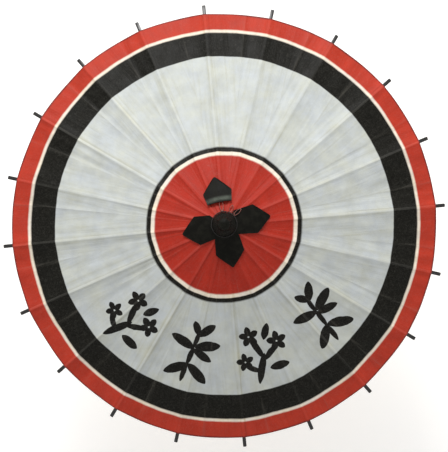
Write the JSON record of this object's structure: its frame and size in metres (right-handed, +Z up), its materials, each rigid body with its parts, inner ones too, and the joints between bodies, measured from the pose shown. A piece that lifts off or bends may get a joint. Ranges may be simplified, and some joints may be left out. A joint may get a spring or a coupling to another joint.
{
  "type": "oil paper umbrella",
  "caption": "Open hand umbrella of oiled paper on a folding bamboo frame, with painted rings, a wooden shaft and a cloth crown.",
  "frame": {"origin": "centre of the flat end of the butt cap, at the lower end of the shaft", "axes": "+Z up the shaft towards the crown; +X and +Y across it, with the first rib 5.35 degrees counter-clockwise from +X"},
  "size_m": [0.789, 0.789, 0.605],
  "materials": {
    "bamboo": "split bamboo, smoothed, with a thin oil coat",
    "hub_wood": "turned hardwood, oiled",
    "shaft_wood": "polished wood, thin lacquer",
    "grip_wood": "dark lacquered hardwood",
    "butt_brass": "worn turned brass",
    "oiled_paper": "oiled bast paper, painted, satin",
    "crown_cloth": "black oiled cloth, satin",
    "hinge_thread": "waxed twisted thread",
    "tie_cord": "twisted cotton cord"
  },
  "bodies": {
    "root": {"shaft": "shaft_wood", "latch_pin": "butt_brass", "grip": "grip_wood", "butt_cap": "butt_brass", "upper_hub": "hub_wood", "hub_thread": "hinge_thread", "hub_pin": "bamboo", "canopy": "oiled_paper", "crown_cap": "crown_cloth", "crown_cord": "tie_cord", "crown_flap_1": "crown_cloth", "crown_flap_2": "crown_cloth", "crown_flap_3": "crown_cloth", "crown_flap_4": "crown_cloth"},
    "runner": {"runner": "hub_wood", "runner_thread": "hinge_thread"},
    "latch": {"latch": "bamboo"},
    "rib_01": {"rib_01": "bamboo"},
    "rib_02": {"rib_02": "bamboo"},
    "rib_03": {"rib_03": "bamboo"},
    "rib_04": {"rib_04": "bamboo"},
    "rib_05": {"rib_05": "bamboo"},
    "rib_06": {"rib_06": "bamboo"},
    "rib_07": {"rib_07": "bamboo"},
    "rib_08": {"rib_08": "bamboo"},
    "rib_09": {"rib_09": "bamboo"},
    "rib_10": {"rib_10": "bamboo"},
    "rib_11": {"rib_11": "bamboo"},
    "rib_12": {"rib_12": "bamboo"},
    "rib_13": {"rib_13": "bamboo"},
    "rib_14": {"rib_14": "bamboo"},
    "rib_15": {"rib_15": "bamboo"},
    "rib_16": {"rib_16": "bamboo"},
    "rib_17": {"rib_17": "bamboo"},
    "rib_18": {"rib_18": "bamboo"},
    "rib_19": {"rib_19": "bamboo"},
    "rib_20": {"rib_20": "bamboo"},
    "stretcher_01": {"stretcher_01": "bamboo"},
    "stretcher_02": {"stretcher_02": "bamboo"},
    "stretcher_03": {"stretcher_03": "bamboo"},
    "stretcher_04": {"stretcher_04": "bamboo"},
    "stretcher_05": {"stretcher_05": "bamboo"},
    "stretcher_06": {"stretcher_06": "bamboo"},
    "stretcher_07": {"stretcher_07": "bamboo"},
    "stretcher_08": {"stretcher_08": "bamboo"},
    "stretcher_09": {"stretcher_09": "bamboo"},
    "stretcher_10": {"stretcher_10": "bamboo"},
    "stretcher_11": {"stretcher_11": "bamboo"},
    "stretcher_12": {"stretcher_12": "bamboo"},
    "stretcher_13": {"stretcher_13": "bamboo"},
    "stretcher_14": {"stretcher_14": "bamboo"},
    "stretcher_15": {"stretcher_15": "bamboo"},
    "stretcher_16": {"stretcher_16": "bamboo"},
    "stretcher_17": {"stretcher_17": "bamboo"},
    "stretcher_18": {"stretcher_18": "bamboo"},
    "stretcher_19": {"stretcher_19": "bamboo"},
    "stretcher_20": {"stretcher_20": "bamboo"}
  },
  "joints": [
    {"name": "runner_slide", "type": "slide", "parent": "root", "child": "runner", "axis": [0, 0, 1], "range_m": [-0.23449, 0], "deforming": ["canopy", "crown_flap_1", "crown_flap_2", "crown_flap_3", "crown_flap_4", "runner_thread"]},
    {"name": "latch_press", "type": "hinge", "parent": "root", "child": "latch", "pos_m": [0.00159, -0.0062, 0.32519], "axis": [-0.9688, -0.2478, 0], "range_deg": [0, 3.2], "stiffness_Nm_per_rad": 0.8, "springref_deg": -2.86},
    {"name": "rib_01_hinge", "type": "hinge", "parent": "root", "child": "rib_01", "pos_m": [0.01643, 0.00154, 0.56], "axis": [-0.0932, 0.9956, 0], "range_deg": [0, 66.01]},
    {"name": "rib_02_hinge", "type": "hinge", "parent": "root", "child": "rib_02", "pos_m": [0.01515, 0.00654, 0.56], "axis": [-0.3963, 0.9181, 0], "range_deg": [0, 66.01]},
    {"name": "rib_03_hinge", "type": "hinge", "parent": "root", "child": "rib_03", "pos_m": [0.01239, 0.0109, 0.56], "axis": [-0.6607, 0.7507, 0], "range_deg": [0, 66.01]},
    {"name": "rib_04_hinge", "type": "hinge", "parent": "root", "child": "rib_04", "pos_m": [0.00841, 0.01419, 0.56], "axis": [-0.8603, 0.5098, 0], "range_deg": [0, 66.01]},
    {"name": "rib_05_hinge", "type": "hinge", "parent": "root", "child": "rib_05", "pos_m": [0.00361, 0.0161, 0.56], "axis": [-0.9757, 0.219, 0], "range_deg": [0, 66.01]},
    {"name": "rib_06_hinge", "type": "hinge", "parent": "root", "child": "rib_06", "pos_m": [-0.00154, 0.01643, 0.56], "axis": [-0.9956, -0.0932, 0], "range_deg": [0, 66.01]},
    {"name": "rib_07_hinge", "type": "hinge", "parent": "root", "child": "rib_07", "pos_m": [-0.00654, 0.01515, 0.56], "axis": [-0.9181, -0.3963, 0], "range_deg": [0, 66.01]},
    {"name": "rib_08_hinge", "type": "hinge", "parent": "root", "child": "rib_08", "pos_m": [-0.0109, 0.01239, 0.56], "axis": [-0.7507, -0.6607, 0], "range_deg": [0, 66.01]},
    {"name": "rib_09_hinge", "type": "hinge", "parent": "root", "child": "rib_09", "pos_m": [-0.01419, 0.00841, 0.56], "axis": [-0.5098, -0.8603, 0], "range_deg": [0, 66.01]},
    {"name": "rib_10_hinge", "type": "hinge", "parent": "root", "child": "rib_10", "pos_m": [-0.0161, 0.00361, 0.56], "axis": [-0.219, -0.9757, 0], "range_deg": [0, 66.01]},
    {"name": "rib_11_hinge", "type": "hinge", "parent": "root", "child": "rib_11", "pos_m": [-0.01643, -0.00154, 0.56], "axis": [0.0932, -0.9956, 0], "range_deg": [0, 66.01]},
    {"name": "rib_12_hinge", "type": "hinge", "parent": "root", "child": "rib_12", "pos_m": [-0.01515, -0.00654, 0.56], "axis": [0.3963, -0.9181, 0], "range_deg": [0, 66.01]},
    {"name": "rib_13_hinge", "type": "hinge", "parent": "root", "child": "rib_13", "pos_m": [-0.01239, -0.0109, 0.56], "axis": [0.6607, -0.7507, 0], "range_deg": [0, 66.01]},
    {"name": "rib_14_hinge", "type": "hinge", "parent": "root", "child": "rib_14", "pos_m": [-0.00841, -0.01419, 0.56], "axis": [0.8603, -0.5098, 0], "range_deg": [0, 66.01]},
    {"name": "rib_15_hinge", "type": "hinge", "parent": "root", "child": "rib_15", "pos_m": [-0.00361, -0.0161, 0.56], "axis": [0.9757, -0.219, 0], "range_deg": [0, 66.01]},
    {"name": "rib_16_hinge", "type": "hinge", "parent": "root", "child": "rib_16", "pos_m": [0.00154, -0.01643, 0.56], "axis": [0.9956, 0.0932, 0], "range_deg": [0, 66.01]},
    {"name": "rib_17_hinge", "type": "hinge", "parent": "root", "child": "rib_17", "pos_m": [0.00654, -0.01515, 0.56], "axis": [0.9181, 0.3963, 0], "range_deg": [0, 66.01]},
    {"name": "rib_18_hinge", "type": "hinge", "parent": "root", "child": "rib_18", "pos_m": [0.0109, -0.01239, 0.56], "axis": [0.7507, 0.6607, 0], "range_deg": [0, 66.01]},
    {"name": "rib_19_hinge", "type": "hinge", "parent": "root", "child": "rib_19", "pos_m": [0.01419, -0.00841, 0.56], "axis": [0.5098, 0.8603, 0], "range_deg": [0, 66.01]},
    {"name": "rib_20_hinge", "type": "hinge", "parent": "root", "child": "rib_20", "pos_m": [0.0161, -0.00361, 0.56], "axis": [0.219, 0.9757, 0], "range_deg": [0, 66.01]},
    {"name": "stretcher_01_hinge", "type": "hinge", "parent": "rib_01", "child": "stretcher_01", "pos_m": [0.19125, 0.01791, 0.48724], "axis": [-0.0932, 0.9956, 0], "range_deg": [-132.02, 0]},
    {"name": "stretcher_02_hinge", "type": "hinge", "parent": "rib_02", "child": "stretcher_02", "pos_m": [0.17636, 0.07613, 0.48724], "axis": [-0.3963, 0.9181, 0], "range_deg": [-132.02, 0]},
    {"name": "stretcher_03_hinge", "type": "hinge", "parent": "rib_03", "child": "stretcher_03", "pos_m": [0.1442, 0.1269, 0.48724], "axis": [-0.6607, 0.7507, 0], "range_deg": [-132.02, 0]},
    {"name": "stretcher_04_hinge", "type": "hinge", "parent": "rib_04", "child": "stretcher_04", "pos_m": [0.09793, 0.16525, 0.48724], "axis": [-0.8603, 0.5098, 0], "range_deg": [-132.02, 0]},
    {"name": "stretcher_05_hinge", "type": "hinge", "parent": "rib_05", "child": "stretcher_05", "pos_m": [0.04207, 0.18743, 0.48724], "axis": [-0.9757, 0.219, 0], "range_deg": [-132.02, 0]},
    {"name": "stretcher_06_hinge", "type": "hinge", "parent": "rib_06", "child": "stretcher_06", "pos_m": [-0.01791, 0.19125, 0.48724], "axis": [-0.9956, -0.0932, 0], "range_deg": [-132.02, 0]},
    {"name": "stretcher_07_hinge", "type": "hinge", "parent": "rib_07", "child": "stretcher_07", "pos_m": [-0.07613, 0.17636, 0.48724], "axis": [-0.9181, -0.3963, 0], "range_deg": [-132.02, 0]},
    {"name": "stretcher_08_hinge", "type": "hinge", "parent": "rib_08", "child": "stretcher_08", "pos_m": [-0.1269, 0.1442, 0.48724], "axis": [-0.7507, -0.6607, 0], "range_deg": [-132.02, 0]},
    {"name": "stretcher_09_hinge", "type": "hinge", "parent": "rib_09", "child": "stretcher_09", "pos_m": [-0.16525, 0.09793, 0.48724], "axis": [-0.5098, -0.8603, 0], "range_deg": [-132.02, 0]},
    {"name": "stretcher_10_hinge", "type": "hinge", "parent": "rib_10", "child": "stretcher_10", "pos_m": [-0.18743, 0.04207, 0.48724], "axis": [-0.219, -0.9757, 0], "range_deg": [-132.02, 0]},
    {"name": "stretcher_11_hinge", "type": "hinge", "parent": "rib_11", "child": "stretcher_11", "pos_m": [-0.19125, -0.01791, 0.48724], "axis": [0.0932, -0.9956, 0], "range_deg": [-132.02, 0]},
    {"name": "stretcher_12_hinge", "type": "hinge", "parent": "rib_12", "child": "stretcher_12", "pos_m": [-0.17636, -0.07613, 0.48724], "axis": [0.3963, -0.9181, 0], "range_deg": [-132.02, 0]},
    {"name": "stretcher_13_hinge", "type": "hinge", "parent": "rib_13", "child": "stretcher_13", "pos_m": [-0.1442, -0.1269, 0.48724], "axis": [0.6607, -0.7507, 0], "range_deg": [-132.02, 0]},
    {"name": "stretcher_14_hinge", "type": "hinge", "parent": "rib_14", "child": "stretcher_14", "pos_m": [-0.09793, -0.16525, 0.48724], "axis": [0.8603, -0.5098, 0], "range_deg": [-132.02, 0]},
    {"name": "stretcher_15_hinge", "type": "hinge", "parent": "rib_15", "child": "stretcher_15", "pos_m": [-0.04207, -0.18743, 0.48724], "axis": [0.9757, -0.219, 0], "range_deg": [-132.02, 0]},
    {"name": "stretcher_16_hinge", "type": "hinge", "parent": "rib_16", "child": "stretcher_16", "pos_m": [0.01791, -0.19125, 0.48724], "axis": [0.9956, 0.0932, 0], "range_deg": [-132.02, 0]},
    {"name": "stretcher_17_hinge", "type": "hinge", "parent": "rib_17", "child": "stretcher_17", "pos_m": [0.07613, -0.17636, 0.48724], "axis": [0.9181, 0.3963, 0], "range_deg": [-132.02, 0]},
    {"name": "stretcher_18_hinge", "type": "hinge", "parent": "rib_18", "child": "stretcher_18", "pos_m": [0.1269, -0.1442, 0.48724], "axis": [0.7507, 0.6607, 0], "range_deg": [-132.02, 0]},
    {"name": "stretcher_19_hinge", "type": "hinge", "parent": "rib_19", "child": "stretcher_19", "pos_m": [0.16525, -0.09793, 0.48724], "axis": [0.5098, 0.8603, 0], "range_deg": [-132.02, 0]},
    {"name": "stretcher_20_hinge", "type": "hinge", "parent": "rib_20", "child": "stretcher_20", "pos_m": [0.18743, -0.04207, 0.48724], "axis": [0.219, 0.9757, 0], "range_deg": [-132.02, 0]}
  ],
  "couplings": [
    {"joint": "rib_01_hinge", "follows": "runner_slide", "rad_per_m": -4.9125},
    {"joint": "rib_02_hinge", "follows": "runner_slide", "rad_per_m": -4.9125},
    {"joint": "rib_03_hinge", "follows": "runner_slide", "rad_per_m": -4.9125},
    {"joint": "rib_04_hinge", "follows": "runner_slide", "rad_per_m": -4.9125},
    {"joint": "rib_05_hinge", "follows": "runner_slide", "rad_per_m": -4.9125},
    {"joint": "rib_06_hinge", "follows": "runner_slide", "rad_per_m": -4.9125},
    {"joint": "rib_07_hinge", "follows": "runner_slide", "rad_per_m": -4.9125},
    {"joint": "rib_08_hinge", "follows": "runner_slide", "rad_per_m": -4.9125},
    {"joint": "rib_09_hinge", "follows": "runner_slide", "rad_per_m": -4.9125},
    {"joint": "rib_10_hinge", "follows": "runner_slide", "rad_per_m": -4.9125},
    {"joint": "rib_11_hinge", "follows": "runner_slide", "rad_per_m": -4.9125},
    {"joint": "rib_12_hinge", "follows": "runner_slide", "rad_per_m": -4.9125},
    {"joint": "rib_13_hinge", "follows": "runner_slide", "rad_per_m": -4.9125},
    {"joint": "rib_14_hinge", "follows": "runner_slide", "rad_per_m": -4.9125},
    {"joint": "rib_15_hinge", "follows": "runner_slide", "rad_per_m": -4.9125},
    {"joint": "rib_16_hinge", "follows": "runner_slide", "rad_per_m": -4.9125},
    {"joint": "rib_17_hinge", "follows": "runner_slide", "rad_per_m": -4.9125},
    {"joint": "rib_18_hinge", "follows": "runner_slide", "rad_per_m": -4.9125},
    {"joint": "rib_19_hinge", "follows": "runner_slide", "rad_per_m": -4.9125},
    {"joint": "rib_20_hinge", "follows": "runner_slide", "rad_per_m": -4.9125},
    {"joint": "stretcher_01_hinge", "follows": "runner_slide", "rad_per_m": 9.825},
    {"joint": "stretcher_02_hinge", "follows": "runner_slide", "rad_per_m": 9.825},
    {"joint": "stretcher_03_hinge", "follows": "runner_slide", "rad_per_m": 9.825},
    {"joint": "stretcher_04_hinge", "follows": "runner_slide", "rad_per_m": 9.825},
    {"joint": "stretcher_05_hinge", "follows": "runner_slide", "rad_per_m": 9.825},
    {"joint": "stretcher_06_hinge", "follows": "runner_slide", "rad_per_m": 9.825},
    {"joint": "stretcher_07_hinge", "follows": "runner_slide", "rad_per_m": 9.825},
    {"joint": "stretcher_08_hinge", "follows": "runner_slide", "rad_per_m": 9.825},
    {"joint": "stretcher_09_hinge", "follows": "runner_slide", "rad_per_m": 9.825},
    {"joint": "stretcher_10_hinge", "follows": "runner_slide", "rad_per_m": 9.825},
    {"joint": "stretcher_11_hinge", "follows": "runner_slide", "rad_per_m": 9.825},
    {"joint": "stretcher_12_hinge", "follows": "runner_slide", "rad_per_m": 9.825},
    {"joint": "stretcher_13_hinge", "follows": "runner_slide", "rad_per_m": 9.825},
    {"joint": "stretcher_14_hinge", "follows": "runner_slide", "rad_per_m": 9.825},
    {"joint": "stretcher_15_hinge", "follows": "runner_slide", "rad_per_m": 9.825},
    {"joint": "stretcher_16_hinge", "follows": "runner_slide", "rad_per_m": 9.825},
    {"joint": "stretcher_17_hinge", "follows": "runner_slide", "rad_per_m": 9.825},
    {"joint": "stretcher_18_hinge", "follows": "runner_slide", "rad_per_m": 9.825},
    {"joint": "stretcher_19_hinge", "follows": "runner_slide", "rad_per_m": 9.825},
    {"joint": "stretcher_20_hinge", "follows": "runner_slide", "rad_per_m": 9.825}
  ]
}
